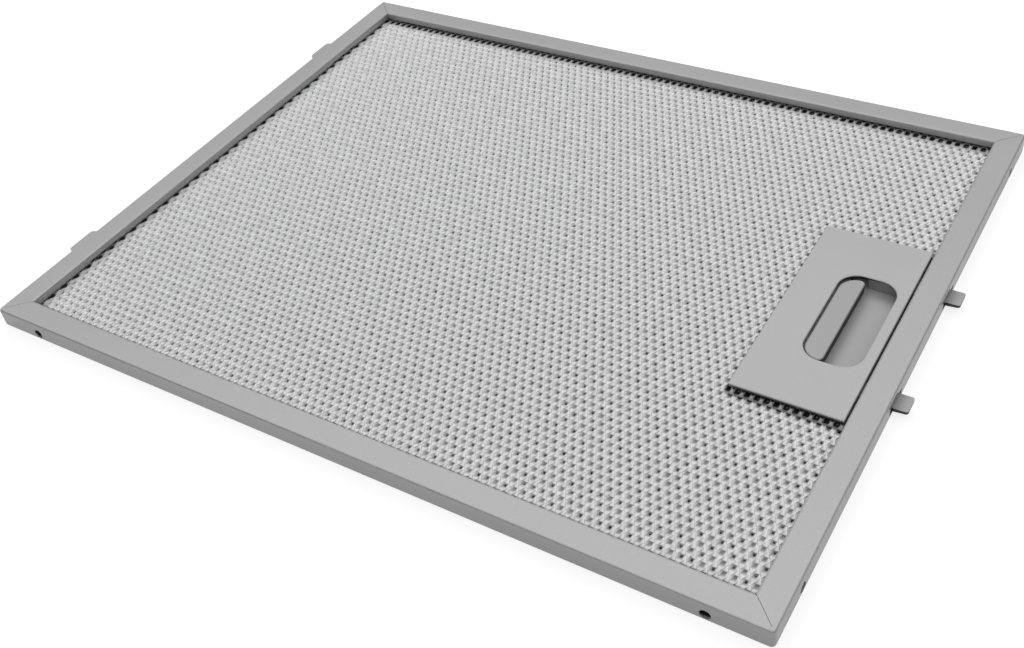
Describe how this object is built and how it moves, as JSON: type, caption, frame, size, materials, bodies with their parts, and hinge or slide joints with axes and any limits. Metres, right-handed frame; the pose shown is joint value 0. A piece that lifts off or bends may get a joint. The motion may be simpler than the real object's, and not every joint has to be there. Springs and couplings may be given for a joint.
{
  "type": "cooker hood grease filter",
  "caption": "Flat rectangular grease filter cassette: expanded metal mesh in a folded grey sheet frame, with fixed lugs on one edge and a sprung finger latch on the other.",
  "frame": {"origin": "middle of the frame on its back plane", "axes": "+X along the long edges towards the latch, +Y across, +Z out of the front face"},
  "size_m": [0.3304, 0.26, 0.008],
  "materials": {
    "rim_coat": "satin grey coating",
    "mesh_metal": "bare expanded metal",
    "handle_grey": "fine matt moulding",
    "spring_steel": "drawn wire"
  },
  "bodies": {
    "cassette": {"frame": "rim_coat", "near_lug": "rim_coat", "far_lug": "rim_coat", "front_mesh": "mesh_metal", "inner_mesh_1": "mesh_metal", "inner_mesh_2": "mesh_metal", "inner_mesh_3": "mesh_metal", "back_mesh": "mesh_metal", "handle_plate": "handle_grey", "latch_tray": "handle_grey", "near_spring": "spring_steel", "far_spring": "spring_steel"},
    "latch": {"latch_slide": "handle_grey"}
  },
  "joints": [
    {"name": "latch_pull", "type": "slide", "parent": "cassette", "child": "latch", "axis": [-1, 0, 0], "range_m": [0, 0.007], "stiffness_N_per_m": 740, "springref_m": -0.005, "deforming": ["near_spring", "far_spring"]}
  ]
}
